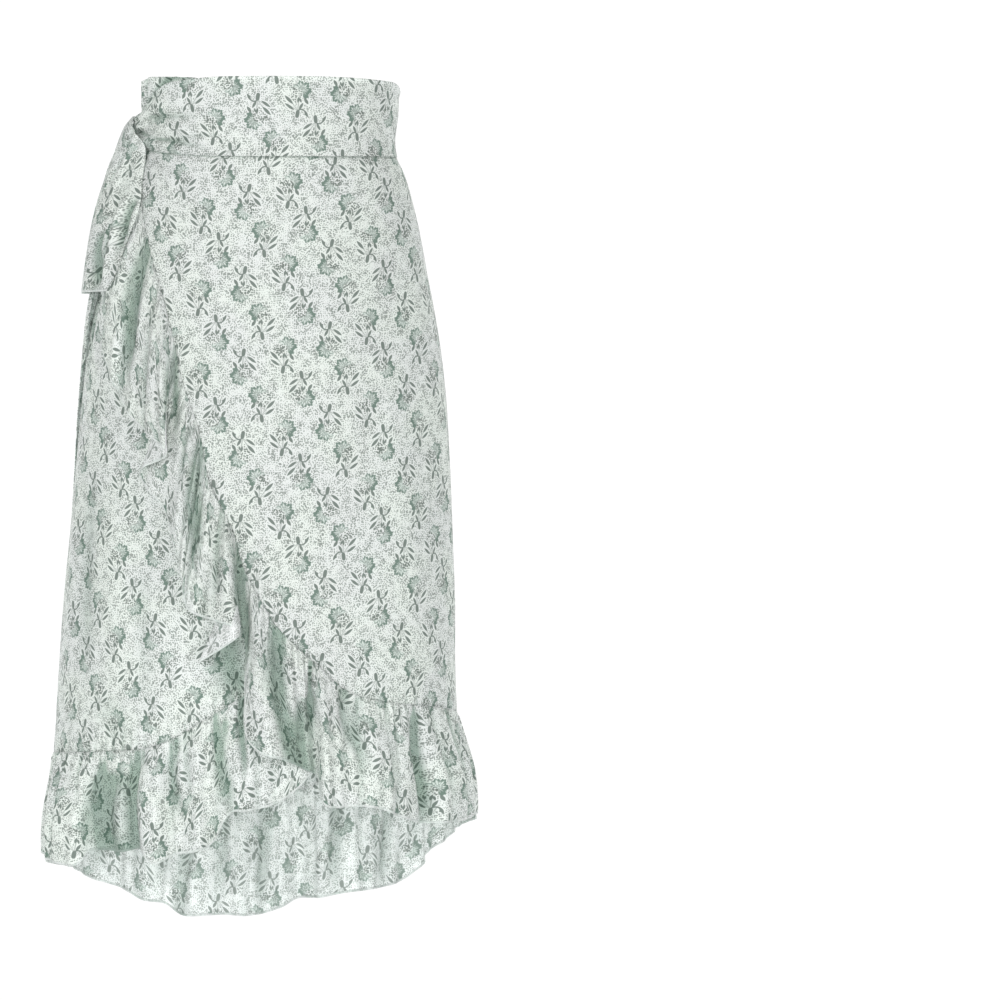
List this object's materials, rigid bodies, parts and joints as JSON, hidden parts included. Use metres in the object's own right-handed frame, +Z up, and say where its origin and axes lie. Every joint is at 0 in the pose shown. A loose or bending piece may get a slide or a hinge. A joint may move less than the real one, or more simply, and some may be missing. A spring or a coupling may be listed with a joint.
{
  "type": "wrap skirt",
  "caption": "A midi wrap skirt in pale green floral chiffon, tied at one side, with a gathered ruffle that runs down the wrap edge and round the hem.",
  "frame": {"origin": "The middle of the waist, level with the seam under the waistband, where the skirt is held on a figure.", "axes": "+Z up along the skirt, from hem to waist; the front faces -Y; the knot is on the -X side, the wearer's right."},
  "size_m": [0.4641, 0.3683, 0.8936],
  "materials": {
    "printed_chiffon": "light woven chiffon with a small floral print in grey-green, matt"
  },
  "bodies": {
    "root": {"overlap_panel": "printed_chiffon", "underlap_panel": "printed_chiffon", "back_panel": "printed_chiffon", "overlap_ruffle": "printed_chiffon", "underlap_ruffle": "printed_chiffon", "back_ruffle": "printed_chiffon", "waistband_front": "printed_chiffon", "waistband_inner": "printed_chiffon", "tie_wrap": "printed_chiffon", "knot": "printed_chiffon", "tail_short": "printed_chiffon", "tail_long": "printed_chiffon"}
  },
  "joints": []
}
